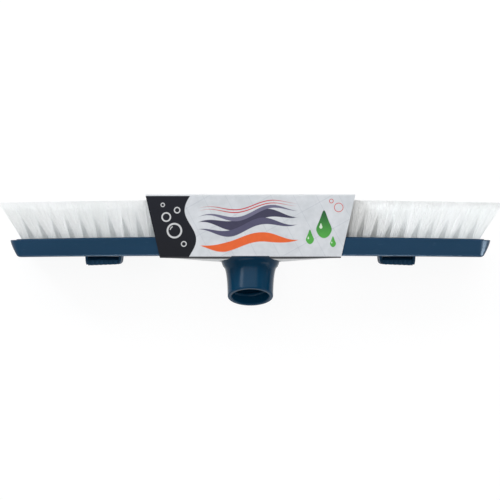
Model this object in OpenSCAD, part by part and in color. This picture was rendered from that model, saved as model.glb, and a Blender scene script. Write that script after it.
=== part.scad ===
// Scrubbing-brush head: arched block with five rows of fanned tufts, a leaning socket for a
// threaded pole, two sprung cloth clips on the back and a folded card sleeve round the middle.
// X runs along the block, +Y is the way the bristles point, +Z the way the socket leans.
// The head lies on its rear long side, so z = 0 is the sleeve's rear panel.

/* [Block] */
// Length of the block at the bristle face
block_len = 304; // [240:1:400]
// Width of the block, from its rear to its front long side
block_w = 52; // [50:1:70]
// Thickness at the middle of the block
block_t = 11.6; // [10.5:0.1:16]
// How far the ends of the back stand off its middle
back_drop = 0.95; // [0:0.05:3]
// How much thinner the block is at its ends
end_thin = 0.8; // [0:0.1:2]
// How far each end wall slopes in from the bristle face to the back
end_rake = 5.3; // [2:0.1:8]
// Bulge of each end, seen from above
end_crown = 0.8; // [0:0.1:2]
// Corner radius, seen from above
corner_r = 8; // [6:0.5:12]
// Rounding along the back edges
edge_r = 1.4; // [0.6:0.1:2]
// Height of the raised plinth that carries the tufts
plinth_h = 0.5; // [0.4:0.1:1.5]
// Bare rim round the plinth
plinth_rim = 3.2; // [2:0.1:4]

/* [Tufts] */
// Distance between tufts along a row
tuft_pitch = 8.6; // [7:0.1:12]
// Distance between rows
row_pitch = 8.5; // [7.5:0.1:9]
// Bore of the tuft holes
hole_d = 4.4; // [3:0.1:5]
// Depth of the tuft holes, from the plinth
hole_depth = 8; // [7:0.1:8.5]
// Clear way from the last hole's centre to the block's end
end_margin = 8; // [8:0.5:14]
// Height of the bristle tips above the bristle face
tip_rise = 23.4; // [15:0.2:40]
// Diameter of a tuft where it is trimmed
tip_d = 7.9; // [6:0.1:8]
// Lean of the last tuft towards the block's end, degrees
fan_end = 25; // [0:1:30]
// Lean of the outer rows towards the long sides, degrees
row_flare = 8; // [0:1:9]

/* [Tuft anchors] */
// Width of the flat wire, along the hole
anchor_w = 1.8; // [1:0.1:2.4]
// Thickness of the flat wire
anchor_t = 0.4; // [0.3:0.05:0.6]
// How far each end of an anchor bites into the block
anchor_bite = 0.3; // [0.1:0.05:0.5]

/* [Handle socket] */
// Length of the socket along its axis, from the block's back to its mouth
socket_len = 28.9; // [24:0.1:45]
// Lean of the socket towards the front long side, degrees
socket_lean = 25; // [5:1:30]
// Outer diameter at the mouth
mouth_d = 28.6; // [26:0.2:34]
// Bore for the threaded pole end
bore_d = 23.7; // [18:0.1:24]
// Depth of the bore
bore_depth = 24; // [18:0.5:24]
// How far the tube flares out towards its foot
foot_flare = 6.5; // [3:0.1:7]
// Length over which the flare dies away
flare_run = 7.5; // [5:0.1:10]
// Diameter of the spigot let into the block
spigot_d = 26; // [16:0.5:30]
// Depth of that spigot
spigot_h = 2; // [1:0.1:2.5]

/* [Cloth clips] */
// Distance from the middle of the block to each clip's centre
clip_offset = 93.5; // [80:0.5:110]
// Length of a clip, along the block
clip_len = 23; // [20:0.2:32]
// Width of a clip, across the block
clip_w = 20; // [18:1:26]
// Height of a clip's outer end above the block's back
clip_h = 5.9; // [5.8:0.1:7]
// How much lower the inner end is
clip_fall = 0.7; // [0:0.1:0.8]
// Depth that a clip's tray is let into the block
tray_t = 1.5; // [1:0.1:2]
// Thickness of the cheeks that carry the hinge pin
cheek_t = 1.7; // [1.5:0.1:3]
// Diameter of the hinge pin
pin_d = 2; // [1.5:0.1:2.2]
// Height of the pin above the block's back
pin_h = 2.5; // [2.3:0.1:2.7]
// Distance from the pin back to the clip's middle
pin_back = 2; // [1:0.1:3]
// Height of the open mouth at the front of the jaw
mouth_h = 2.6; // [1.5:0.1:3]
// Distance between the ribs of a jaw
rib_pitch = 2.9; // [2:0.1:4]
// Wire diameter of the jaw spring
spring_wire = 0.5; // [0.4:0.05:0.6]
// Turns of the jaw spring
spring_turns = 6; // [4:1:7]

/* [Card sleeve] */
// Thickness of the card
card_t = 0.5; // [0.3:0.05:0.8]
// Width of the sleeve at the bristle tips
sleeve_top_w = 131.4; // [110:0.2:150]
// Width of the sleeve at the block's back
sleeve_back_w = 113.4; // [90:0.2:130]
// Room between the bristle tips and the card
tip_room = 3.2; // [0.5:0.1:5]
// Room between the block's back and the card
back_room = 0.8; // [0.5:0.1:3]
// Outer radius of the folds
fold_r = 1; // [0.9:0.05:1.5]
// How far the socket's foot pushes the card out
card_bulge = 3.4; // [1.5:0.1:5]
// Width of the socket's slot where it crosses the front fold
notch_w = 23; // [16:1:30]

/* [Hidden] */
$fn = 48;
eps = 0.01;
fit = 0.05;            // clearance between pieces that lie face to face
side_room = 0.1;       // card to the block's long sides
rows = 5;
rim_r = 0.5;           // rounding of the rim at the bristle face
side_draft = 0.4;      // slope of each long side over the block's thickness
tuft_room = 0.2;       // radial room of a tuft in its hole
fold_below = 0.9;      // filament folded under an anchor
lead_in = 0.35;        // chamfer at the mouth of the bore
lip_r = 0.7;           // rounding outside the mouth
jaw_gap = 0.2;         // room between the jaw and each cheek
pin_room = 0.06;       // radial running clearance of the jaw on its pin
barrel_wall = 1;       // wall of the jaw round its pin
nip_gap = 0.3;         // closed jaw to the block's back
groove_r = 1.05;       // radius of the grooves between the ribs
groove_cut = 0.45;     // depth of those grooves
clip_draft = 0.3;      // how far each end of a clip slopes in towards its top
coil_gap = 0.06;       // room between the turns of the spring
block_blue = [0.13, 0.25, 0.36];
clip_blue = [0.06, 0.12, 0.2];
bristle_white = [0.93, 0.94, 0.94];
wire_grey = [0.66, 0.67, 0.69];
card_grey = [0.82, 0.82, 0.83];

// Places that everything shares
z_mid = card_t + side_room + block_w / 2;
mouth_r = mouth_d / 2;
above_back = block_t + tip_rise + tip_room + card_t;
below_back = socket_len * cos(socket_lean) + mouth_r * sin(socket_lean);
back_y0 = (below_back - above_back) / 2;
function sag(x, drop) = -drop * pow(2 * x / block_len, 2);
function back_y(x) = back_y0 + sag(x, back_drop);
function face_y(x) = back_y0 + block_t + sag(x, back_drop + end_thin);
function tip_y(x) = face_y(x) + tip_rise;

// ---- Block: a stack of rounded outlines, from the plinth's top down to the back ----

// Half of a rounded outline, from its +X end round the +Z side to its -X end
function quarter(a, b, c) = concat(
  [for (i = [0:2]) [a - end_crown * pow(i / 2, 2), (b - c) * i / 2]],
  [for (i = [1:7]) [a - end_crown - c + c * cos(i * 90 / 7), b - c + c * sin(i * 90 / 7)]],
  [for (i = [1:7]) [(a - end_crown - c) * (1 - i / 8), b]]);
function half_outline(a, b, c) = let (q = quarter(a, b, c), n = len(q))
  concat(q, [[0, b]], [for (i = [n - 1:-1:0]) [-q[i][0], q[i][1]]]);
function whole_outline(h) = let (n = len(h)) concat(h, [for (i = [n - 2:-1:1]) [h[i][0], -h[i][1]]]);

// One loop of the stack: f is 0 at the bristle face and 1 at the back, lift stands above the face
function level(f, lift, end_in, side_in) =
  [for (p = whole_outline(half_outline(block_len / 2 - end_in, block_w / 2 - side_in,
      max(corner_r - max(end_in, side_in), 3))))
    [p[0], face_y(p[0]) + lift - f * (face_y(p[0]) - back_y(p[0])), z_mid + p[1]]];

// Skin over loops that are mirror images across their middle plane, closed at both ends
module skin(loops) {
  m = len(loops[0]);
  n = m / 2 + 1;
  last = (len(loops) - 1) * m;
  walls = [for (j = [0:len(loops) - 2], i = [0:m - 1])
    let (a = j * m + i, b = j * m + (i + 1) % m) each [[a, b + m, b], [a, a + m, b + m]]];
  caps = [for (i = [0:n - 2]) let (a = i, b = i + 1, c = (m - b) % m, d = (m - a) % m)
    each concat(b == c ? [] : [[a, b, c]], a == d ? [] : [[a, c, d]])];
  polyhedron([for (l = loops) each l],
    concat(walls, caps, [for (t = caps) [last + t[0], last + t[2], last + t[1]]]));
}

function wall_in(f) = end_rake * pow(f, 1.4);
rim_f = rim_r / block_t;
edge_f = 1 - edge_r / block_t;
wall_steps = 4;
edge_steps = 4;
module block_blank() {
  plinth_in = plinth_rim + rim_r;
  skin(concat(
    [level(0, plinth_h, plinth_in + 0.3, plinth_in + 0.3),
     level(0, plinth_h - 0.3, plinth_in, plinth_in),
     level(0, 0, plinth_in, plinth_in),
     level(0, 0, rim_r, rim_r),
     level(rim_f * 0.3, 0, rim_r * 0.3, rim_r * 0.3)],
    [for (i = [0:wall_steps]) let (f = rim_f + (edge_f - rim_f) * i / wall_steps)
      level(f, 0, wall_in(f), side_draft * f)],
    [for (i = [1:edge_steps]) let (q = i * 90 / edge_steps, f = edge_f + (1 - edge_f) * sin(q))
      level(f, 0, wall_in(f) + edge_r * (1 - cos(q)), side_draft * f + edge_r * (1 - cos(q)))]));
}

module block() {
  color(block_blue) difference() {
    block_blank();
    for (j = [1:rows]) at_tufts(j) hole();
    translate([0, back_y0 + spigot_h + fit, z_mid]) rotate([90, 0, 0])
      cylinder(d = spigot_d + 4 * fit, h = spigot_h + 10);
    for (side = [-1, 1]) on_back(side) tray_pocket();
  }
}

// ---- Tufts: holes, anchors and bristles all aimed by the same rule ----

full_row = floor((block_len - 2 * end_margin) / tuft_pitch + eps) + 1;
last_x = (full_row - 1) * tuft_pitch / 2;
function in_row(j) = full_row - (j % 2 == 1 ? 0 : 1);
function tuft_x(j, i) = (i - (in_row(j) - 1) / 2) * tuft_pitch;
function row_z(j) = (j - (rows + 1) / 2) * row_pitch;
function fan(x) = fan_end * x / last_x;
function flare(j) = row_flare * 2 * (j - (rows + 1) / 2) / (rows - 1);

// Puts its child at each tuft of row j, with +Z along the tuft and z = 0 at the plinth
module at_tufts(j) {
  for (i = [0:in_row(j) - 1]) {
    x = tuft_x(j, i);
    translate([x, face_y(x) + plinth_h, z_mid + row_z(j)])
      rotate([0, 0, -fan(x)]) rotate([flare(j) - 90, 0, 0]) children();
  }
}

module hole() {
  translate([0, 0, -hole_depth]) cylinder(d = hole_d, h = hole_depth + 3, $fn = 20);
}

// A folded bundle of filaments that opens out from its hole, with a slot for its anchor
module tuft() {
  root_r = hole_d / 2 - tuft_room;
  reach = tip_rise / cos(fan_end) + 6;
  spread = (tip_d / 2 - root_r) / tip_rise;
  difference() {
    rotate_extrude($fn = 16) polygon([[0, -hole_depth + fit], [root_r, -hole_depth + fit],
      [root_r, 0], [root_r + spread * reach, reach], [0, reach]]);
    translate([0, 0, anchor_z()])
      cube([hole_d, anchor_t + 2 * fit, anchor_w + 2 * fit], center = true);
  }
}
function anchor_z() = fold_below + anchor_w / 2 - hole_depth;

module anchor() {
  translate([0, 0, anchor_z()])
    cube([hole_d + 2 * anchor_bite, anchor_t, anchor_w], center = true);
}

// Everything below the arched surface that the tips are trimmed to
module under_trim() {
  far = block_len / 2 + tip_rise;
  translate([0, 0, -block_w]) linear_extrude(3 * block_w)
    polygon(concat([[far, back_y0 - 5], [-far, back_y0 - 5]],
      [for (i = [-12:12]) [far * i / 12, tip_y(far * i / 12)]]));
}

module tufts_row(j) {
  color(bristle_white) intersection() {
    at_tufts(j) tuft();
    under_trim();
  }
}
module anchors_row(j) { color(wire_grey) at_tufts(j) anchor(); }

// ---- Handle socket: a flared tube on a round foot, with a spigot into the block ----

function tube_r(s) = mouth_r + foot_flare * exp(-max(s, 5) / flare_run);
function foot_r(h) = mouth_r + 0.9 + foot_flare * exp(-h * 0.22);

module socket_tube() {
  steps = 12;
  rotate([90 - socket_lean, 0, 0]) rotate_extrude($fn = 96) polygon(concat(
    [[0, -14], [tube_r(0), -14], [tube_r(0), 0]],
    [for (i = [0:steps]) let (s = 5 + (socket_len - lip_r - 5) * i / steps) [tube_r(s), s]],
    [for (i = [1:3]) [tube_r(socket_len) - lip_r * (1 - cos(i * 30)),
      socket_len - lip_r * (1 - sin(i * 30))]],
    [[0, socket_len]]));
}

module socket_foot() {
  top = 7;
  rotate([90, 0, 0]) rotate_extrude($fn = 96) polygon(concat(
    [[0, 0]], [for (i = [0:8]) [foot_r(top * i / 8), top * i / 8]],
    [[foot_r(top) - 4, top + 2], [0, top + 2]]));
}

module socket_bore() {
  r = bore_d / 2;
  rotate([90 - socket_lean, 0, 0]) {
    translate([0, 0, socket_len - bore_depth]) cylinder(r = r, h = bore_depth + 5, $fn = 96);
    translate([0, 0, socket_len - lead_in])
      cylinder(r1 = r, r2 = r + 2 * lead_in, h = 2 * lead_in, $fn = 96);
  }
}

module handle_socket() {
  color(block_blue) translate([0, back_y0, z_mid]) difference() {
    union() {
      difference() {
        union() {
          socket_tube();
          socket_foot();
        }
        translate([-40, -fit, -60]) cube([80, 60, 120]);
      }
      translate([0, spigot_h, 0]) rotate([90, 0, 0]) cylinder(d = spigot_d, h = spigot_h + 2);
    }
    socket_bore();
  }
}

// ---- Cloth clips, drawn with x towards the block's end, y off the back, z to the front ----

module on_back(side) {
  translate([side * clip_offset, back_y(clip_offset), z_mid])
    if (side < 0) mirror([1, 0, 0]) mirror([0, 1, 0]) children();
    else mirror([0, 1, 0]) children();
}

// Extrudes a profile of [y, z] points along x, centred
module along_x(length) {
  translate([-length / 2, 0, 0]) rotate([90, 0, 90]) linear_extrude(length) children();
}

jaw_len = clip_len - 2 * (cheek_t + jaw_gap);
pin_r = pin_d / 2;
pin_z = -pin_back;
barrel_r = pin_r + barrel_wall;
coil_r = pin_r + 0.2 + spring_wire / 2;
coil_len = spring_turns * (spring_wire + coil_gap);
leg_top = pin_h + coil_r + spring_wire / 2 + 0.1;   // roof of the jaw over the spring's leg
function clip_top(x) = clip_h - clip_fall * (0.5 - x / clip_len);

// The clip seen from the front: lower and rounder at its inner end, narrower at its top
module clip_outline() {
  e = clip_len / 2;
  t = e - clip_draft;
  r_out = 1.3;
  r_in = 2.6;
  polygon(concat([[-e, -tray_t], [e, -tray_t], [e, 0]],
    [for (i = [0:4]) [t - r_out * (1 - cos(i * 22.5)), clip_top(e) - r_out * (1 - sin(i * 22.5))]],
    [for (i = [0:4]) [-t + r_in * (1 - sin(i * 22.5)), clip_top(-e) - r_in * (1 - cos(i * 22.5))]],
    [[-e, 0]]));
}
module in_clip_outline() {
  intersection() {
    children();
    translate([0, 0, -clip_w]) linear_extrude(2 * clip_w) clip_outline();
  }
}

module tray_pocket() {
  translate([0, (5 - tray_t - fit) / 2, 0])
    cube([clip_len + 4 * fit, 5 + tray_t + fit, clip_w - 1 + 4 * fit], center = true);
}

module clip_base(side) {
  half = clip_w / 2 - 0.5;
  top = clip_h - 0.6;
  color(clip_blue) on_back(side) difference() {
    union() {
      translate([0, -tray_t / 2, 0]) cube([clip_len, tray_t, 2 * half], center = true);
      in_clip_outline() for (end = [-1, 1])
        translate([end * (clip_len - cheek_t) / 2, 0, 0]) along_x(cheek_t)
          polygon([[-eps, -half], [top - 2.2, -half], [top, 2.4 - half],
            [top, half - 2.4], [top - 2.2, half], [-eps, half]]);
    }
    pin_hole(0.02);
  }
}

module pin_hole(room) {
  translate([-clip_len, pin_h, pin_z]) rotate([0, 90, 0])
    cylinder(r = pin_r + room, h = 2 * clip_len, $fn = 32);
}

module clip_pin(side) {
  long = clip_len - 1;
  color(wire_grey) on_back(side) translate([-long / 2, pin_h, pin_z]) rotate([0, 90, 0])
    cylinder(r = pin_r, h = long, $fn = 32);
}

// Side profile of the jaw as [y, z]: thumb end at the rear, nip and open mouth at the front
module jaw_profile() {
  half = clip_w / 2;
  top = clip_h;
  thumb = 3.1;
  polygon([[thumb, -half], [top - 1.2, -half], [top - 0.35, 0.35 - half], [top, 1.2 - half],
    [top, half - 1.2], [top - 0.35, half - 0.35], [top - 1.2, half], [mouth_h, half],
    [nip_gap, 6.2], [nip_gap, 4.4], [1.7, 3.4], [1.7, pin_z],
    [thumb, pin_z - barrel_r], [thumb, -half]]);
}

module clip_jaw(side) {
  slot = coil_len + 0.8;
  rear = 1 - clip_w / 2;
  color(clip_blue) on_back(side) difference() {
    in_clip_outline() union() {
      along_x(jaw_len) jaw_profile();
      translate([-jaw_len / 2, pin_h, pin_z]) rotate([0, 90, 0])
        cylinder(r = barrel_r, h = jaw_len, $fn = 32);
    }
    pin_hole(pin_room);
    jaw_grooves();
    translate([-slot / 2, pin_h, pin_z]) rotate([0, 90, 0])
      cylinder(r = coil_r + spring_wire / 2 + 0.3, h = slot, $fn = 32);
    translate([-slot / 2, -1, pin_z - 2]) cube([slot, pin_h + 1, 4]);
    translate([-slot / 2, -1, rear]) cube([slot, leg_top + 1, pin_z - rear]);
  }
}

// Grooves between the ribs, over the outer face and down the front lip
module jaw_grooves() {
  count = floor(jaw_len / rib_pitch);
  for (i = [0:count]) {
    x = (i - count / 2) * rib_pitch;
    translate([x, clip_top(x) + groove_r - groove_cut, -clip_w])
      cylinder(r = groove_r, h = 2 * clip_w, $fn = 24);
    translate([x, 0, clip_w / 2 + groove_r - groove_cut]) rotate([-90, 0, 0])
      cylinder(r = groove_r, h = 2 * clip_h, $fn = 24);
  }
}

// Round wire along points that all lie close to planes across x
function unit(v) = v / norm(v);
module wire(points, r) {
  sides = 6;
  n = len(points);
  rings = [for (i = [0:n - 1])
    let (t = unit(points[min(i + 1, n - 1)] - points[max(i - 1, 0)]),
      b = unit([1, 0, 0] - t[0] * t), c = cross(t, b))
      for (k = [0:sides - 1]) points[i] + r * (cos(k * 360 / sides) * b + sin(k * 360 / sides) * c)];
  polyhedron(rings, concat([[for (k = [0:sides - 1]) k]],
    [for (i = [0:n - 2], k = [0:sides - 1]) let (a = i * sides + k, b = i * sides + (k + 1) % sides)
      each [[a, a + sides, b + sides], [a, b + sides, b]]],
    [[for (k = [sides - 1:-1:0]) (n - 1) * sides + k]]));
}

// Torsion spring: close turns round the pin, one leg on the tray and one under the thumb end
module clip_spring(side) {
  steps = 10 * spring_turns;
  sweep = 360 * spring_turns + 180;
  tray_leg = spring_wire / 2 + fit;
  jaw_leg = leg_top - spring_wire / 2 - fit;
  leg_end = 2 - clip_w / 2;
  coil = [for (i = [0:steps]) let (q = 270 + sweep * i / steps)
    [coil_len * (i / steps - 0.5), pin_h + coil_r * sin(q), pin_z + coil_r * cos(q)]];
  color(wire_grey) on_back(side)
    wire(concat([[-coil_len / 2, tray_leg, leg_end]], [[-coil_len / 2, tray_leg + 0.35, pin_z - 2.4]],
      coil, [[coil_len / 2, jaw_leg, leg_end]]), spring_wire / 2);
}

// ---- Card sleeve: a folded band, wider at the tips, pushed out round the socket's foot ----

in_top = back_y0 + above_back - card_t;
in_bottom = back_y0 - back_room;
function half_w_at(y) = (sleeve_back_w + (sleeve_top_w - sleeve_back_w)
  * (y - in_bottom) / (in_top - in_bottom)) / 2;
function ease(t) = let (c = min(max(t, 0), 1)) c * c * (3 - 2 * c);
function bulge(x, z) = card_bulge * ease((54 - abs(x)) / 36)
  * pow(max(sin(180 * (z - card_t) / (block_w + 2 * side_room)), 0), 0.5);

// Cross-section of the card's inner (grow = 0) or outer (grow = card_t) face, as [y, z]
function card_loop(grow) =
  let (r = fold_r - card_t + grow, y0 = in_bottom - grow, y1 = in_top + grow,
    z0 = card_t - grow, z1 = card_t + block_w + 2 * side_room + grow)
  concat(
    [for (q = [0:30:90]) [y1 - r + r * cos(q), z1 - r + r * sin(q)]],
    [for (q = [90:30:180]) [y0 + r + r * cos(q), z1 - r + r * sin(q)]],
    [for (i = [1:9]) [y0, z1 - r + (z0 - z1 + 2 * r) * i / 10]],
    [for (q = [180:30:270]) [y0 + r + r * cos(q), z0 + r + r * sin(q)]],
    [for (q = [270:30:360]) [y1 - r + r * cos(q), z0 + r + r * sin(q)]]);
function card_ring(s) = [for (grow = [card_t, 0], p = card_loop(grow))
  let (x = s * half_w_at(p[0]), low = p[0] < in_bottom + eps)
    [x, p[0] - (low ? bulge(x, p[1]) : 0), p[1]]];

module card_band() {
  steps = 20;
  m = len(card_loop(0));
  rings = [for (i = [0:steps]) card_ring(2 * i / steps - 1)];
  function at(i, k, face) = i * 2 * m + face * m + k % m;
  polyhedron([for (l = rings) each l], concat(
    [for (i = [0:steps - 1], k = [0:m - 1]) each [
      [at(i, k, 0), at(i + 1, k, 0), at(i + 1, k + 1, 0)],
      [at(i, k, 0), at(i + 1, k + 1, 0), at(i, k + 1, 0)],
      [at(i, k, 1), at(i + 1, k + 1, 1), at(i + 1, k, 1)],
      [at(i, k, 1), at(i, k + 1, 1), at(i + 1, k + 1, 1)]]],
    [for (k = [0:m - 1]) each [
      [at(0, k, 0), at(0, k + 1, 0), at(0, k + 1, 1)],
      [at(0, k, 0), at(0, k + 1, 1), at(0, k, 1)],
      [at(steps, k, 0), at(steps, k + 1, 1), at(steps, k + 1, 0)],
      [at(steps, k, 0), at(steps, k, 1), at(steps, k + 1, 1)]]]));
}

// Slot for the socket: round at both ends, run forward until it crosses the front fold
module card_slot() {
  round_r = foot_r(back_room + 0.6 * card_bulge) + 0.6;
  rear_z = z_mid + 0.4;
  front_z = z_mid + block_w / 2 + side_room - sqrt(pow(round_r, 2) - pow(notch_w / 2, 2));
  translate([0, in_bottom + fold_r + 0.3, 0]) rotate([90, 0, 0]) {
    for (z = [rear_z, front_z]) translate([0, z, 0]) cylinder(r = round_r, h = 20, $fn = 64);
    translate([-round_r, rear_z, 0]) cube([2 * round_r, front_z - rear_z, 20]);
  }
}

module card_sleeve() {
  color(card_grey) difference() {
    card_band();
    card_slot();
  }
}

block();
handle_socket();
tufts_row(1);  // tufts_row_1
tufts_row(2);  // tufts_row_2
tufts_row(3);  // tufts_row_3
tufts_row(4);  // tufts_row_4
tufts_row(5);  // tufts_row_5
anchors_row(1);  // anchors_row_1
anchors_row(2);  // anchors_row_2
anchors_row(3);  // anchors_row_3
anchors_row(4);  // anchors_row_4
anchors_row(5);  // anchors_row_5
clip_base(-1);  // left_clip_base
clip_jaw(-1);  // left_clip_jaw
clip_pin(-1);  // left_clip_pin
clip_spring(-1);  // left_clip_spring
clip_base(1);  // right_clip_base
clip_jaw(1);  // right_clip_jaw
clip_pin(1);  // right_clip_pin
clip_spring(1);  // right_clip_spring
card_sleeve();
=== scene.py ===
# Looks of a scrubbing-brush head for pool walls: arched block, five rows of fanned tufts,
# a leaning socket for a threaded pole, two sprung cloth clips and a folded card sleeve.
# X runs along the block, +Y is the way the bristles point, +Z the way the socket leans.
import math
from functools import partial
import bmesh
import bpy
import numpy as np
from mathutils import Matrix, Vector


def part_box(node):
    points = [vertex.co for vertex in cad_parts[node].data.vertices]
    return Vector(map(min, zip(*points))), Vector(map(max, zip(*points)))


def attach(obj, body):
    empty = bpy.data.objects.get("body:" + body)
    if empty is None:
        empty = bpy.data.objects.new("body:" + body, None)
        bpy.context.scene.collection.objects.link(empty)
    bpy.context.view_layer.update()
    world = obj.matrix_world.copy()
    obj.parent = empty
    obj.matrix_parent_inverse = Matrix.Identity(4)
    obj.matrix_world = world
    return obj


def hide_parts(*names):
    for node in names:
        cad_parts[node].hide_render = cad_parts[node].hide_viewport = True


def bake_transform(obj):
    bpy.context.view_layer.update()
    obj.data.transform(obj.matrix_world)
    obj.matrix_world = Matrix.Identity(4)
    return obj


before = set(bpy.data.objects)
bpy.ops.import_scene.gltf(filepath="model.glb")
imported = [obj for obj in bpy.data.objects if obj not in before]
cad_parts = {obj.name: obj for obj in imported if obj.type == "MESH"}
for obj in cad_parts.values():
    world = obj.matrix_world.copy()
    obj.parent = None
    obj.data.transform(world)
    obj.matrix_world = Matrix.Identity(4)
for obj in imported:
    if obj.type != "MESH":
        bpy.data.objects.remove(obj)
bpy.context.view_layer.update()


# ---- Studio ------------------------------------------------------------------------------------
# The head lies on its rear long side on a white table, and the camera looks straight down on its
# front long side. A pale sky with a dim zenith and soft lamps all round light it as in a
# catalogue, and two small lamps are kept for the block's rounded edges.

def put(tree, kind, values=None, **settings):
    """Adds a shader node, sets its properties, and fills its inputs with values or with sockets."""
    made = tree.nodes.new(kind)
    for name, value in settings.items():
        setattr(made, name, value)
    for key, value in (values or {}).items():
        if isinstance(value, bpy.types.NodeSocket):
            tree.links.new(value, made.inputs[key])
        else:
            made.inputs[key].default_value = value
    return made


def calc(tree, operation, *values):
    """One Math node: the operation on up to three numbers or sockets."""
    return put(tree, "ShaderNodeMath", dict(enumerate(values)), operation=operation).outputs[0]


def ramp_between(tree, value, low, high, to_low=0.0, to_high=1.0):
    """Maps value from low..high to to_low..to_high with smooth ends, and holds it outside them."""
    made = put(tree, "ShaderNodeMapRange", {0: value, 1: low, 2: high, 3: to_low, 4: to_high},
               interpolation_type="SMOOTHSTEP")
    return made.outputs[0]


def eye_rays(tree):
    """1 for rays that reach the eye, straight, mirrored or through glass, and 0 for other light."""
    path = put(tree, "ShaderNodeLightPath").outputs
    return calc(tree, "MAXIMUM", path["Is Camera Ray"],
                calc(tree, "MAXIMUM", path["Is Glossy Ray"], path["Is Transmission Ray"]))


def blank_material(name):
    """A material and its node tree, with no nodes in it."""
    made = bpy.data.materials.new(name)
    made.use_nodes = True
    made.node_tree.nodes.clear()
    return made, made.node_tree


def cover(tree, shader):
    """Makes a shader node the surface of its material."""
    put(tree, "ShaderNodeOutputMaterial", {"Surface": shader.outputs[0]})


def bumped(tree, height, strength, values):
    """Makes a Principled shader with these values and a bump the surface of its material."""
    bump = put(tree, "ShaderNodeBump", {"Height": height, "Strength": strength, "Distance": 1.0})
    cover(tree, put(tree, "ShaderNodeBsdfPrincipled", {"Normal": bump.outputs[0], **values}))


front_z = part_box("card_sleeve")[1].z
camera_height = 1.0
view_across = 0.3125
aim_x, aim_y = -0.00025, 0.0004
camera = bpy.data.objects.new("camera", bpy.data.cameras.new("camera"))
bpy.context.scene.collection.objects.link(camera)
camera.location = (aim_x, aim_y, front_z + camera_height)
camera.data.sensor_width = 36
camera.data.lens = 36 * camera_height / view_across
camera.data.clip_start, camera.data.clip_end = 0.05, 50
bpy.context.scene.camera = camera

table_white = (0.80, 0.80, 0.81, 1)
table_shaded = (0.135, 0.135, 0.137, 1)
table_radius = 6.0
glow_near, glow_far = 0.885, 0.98
glow_starts, glow_ends = 0.4, 2.5


def table_material():
    """White table: rays from the eye see a lifted white that still keeps half of the shadow."""
    made, tree = blank_material("white_table")
    place = put(tree, "ShaderNodeTexCoord").outputs["Object"]
    far = put(tree, "ShaderNodeVectorMath", {0: place}, operation="LENGTH").outputs["Value"]
    lift = ramp_between(tree, far, glow_starts, glow_ends, glow_near, glow_far)
    lit = put(tree, "ShaderNodeBsdfPrincipled", {"Base Color": table_white, "Roughness": 0.9,
                                                 "Specular IOR Level": 0.0})
    dimmed = put(tree, "ShaderNodeBsdfDiffuse", {"Color": table_shaded})
    glow = put(tree, "ShaderNodeEmission", {"Color": (1, 1, 1, 1), "Strength": lift})
    shown = put(tree, "ShaderNodeAddShader", {0: dimmed.outputs[0], 1: glow.outputs[0]})
    cover(tree, put(tree, "ShaderNodeMixShader",
                    {0: eye_rays(tree), 1: lit.outputs[0], 2: shown.outputs[0]}))
    return made


bpy.ops.mesh.primitive_circle_add(vertices=96, radius=table_radius, fill_type="NGON")
table = bpy.context.object
table.name = "table"
table.data.materials.append(table_material())

world = bpy.data.worlds.new("studio")
bpy.context.scene.world = world
world.use_nodes = True
sky = world.node_tree
sky.nodes.clear()
sky_height = put(sky, "ShaderNodeSeparateXYZ",
                 {0: put(sky, "ShaderNodeTexCoord").outputs["Generated"]}).outputs["Z"]
sky_seen = ramp_between(sky, sky_height, 0.10, 0.45, 1.0, 0.30)
sky_cast = ramp_between(sky, sky_height, 0.0, 0.5, 0.30, 0.62)
sky_level = put(sky, "ShaderNodeMix", {0: eye_rays(sky), 2: sky_cast, 3: sky_seen}).outputs[0]
sky_light = put(sky, "ShaderNodeBackground", {"Color": (1, 1, 1, 1), "Strength": sky_level})
put(sky, "ShaderNodeOutputWorld", {"Surface": sky_light.outputs[0]})

# Each lamp: where it stands, its width and height, its power in watts and its colour. Some are only
# mirrored and some only light. The corner and edge lamps reach nothing but the block.
daylight = (1.0, 1.0, 1.0)
cool_light = (0.71, 0.87, 1.0)
lamps = {
    "lamp_strip": ((-0.93, 0.80, 0.46), 0.22, 0.95, 5.4, (0.88, 0.94, 1.0)),
    "lamp_right": ((1.15, -0.15, 0.50), 0.30, 0.9, 1.7, daylight),
    "lamp_back": ((-0.35, -1.05, 0.80), 1.3, 0.45, 4.2, daylight),
    "lamp_tips": ((-0.05, 0.90, 0.82), 1.60, 0.65, 6.3, daylight),
    "lamp_top": ((-0.15, 0.15, 1.15), 0.6, 0.6, 1.65, daylight),
    "lamp_rear": ((0.0, -1.25, 0.22), 1.2, 0.4, 1.8, daylight),
    "lamp_corner": ((1.10, -0.31, 0.56), 0.4, 0.9, 44.0, cool_light),
    "lamp_edge": ((0.0, -1.05, 0.45), 0.42, 0.3, 20.0, cool_light),
}
mirrored_only = ("lamp_back", "lamp_corner", "lamp_edge")
lighting_only = ("lamp_top", "lamp_rear")
lamp_target = np.array([0.0, 0.0, 0.03])
for lamp_name, (place, wide, high, watts, colour) in lamps.items():
    lamp_data = bpy.data.lights.new(lamp_name, "AREA")
    lamp_data.shape = "RECTANGLE"
    lamp_data.size, lamp_data.size_y, lamp_data.energy = wide, high, watts
    lamp_data.color = colour
    lamp = bpy.data.objects.new(lamp_name, lamp_data)
    bpy.context.scene.collection.objects.link(lamp)
    lamp.visible_diffuse = lamp_name not in mirrored_only
    lamp.visible_glossy = lamp_name not in lighting_only
    lamp.location = place
    aim = lamp_target - place
    lamp.rotation_mode = "QUATERNION"
    lamp.rotation_quaternion = Vector(aim).to_track_quat("-Z", "Y")

bpy.context.scene.view_settings.view_transform = "Standard"


# ---- Block -------------------------------------------------------------------------------------
# One solid moulding in satin navy plastic. Its back is gently arched, its ends are raked, and a
# low plinth on the bristle face is drilled for the tufts. Every tuft is aimed by the same rule.

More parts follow.
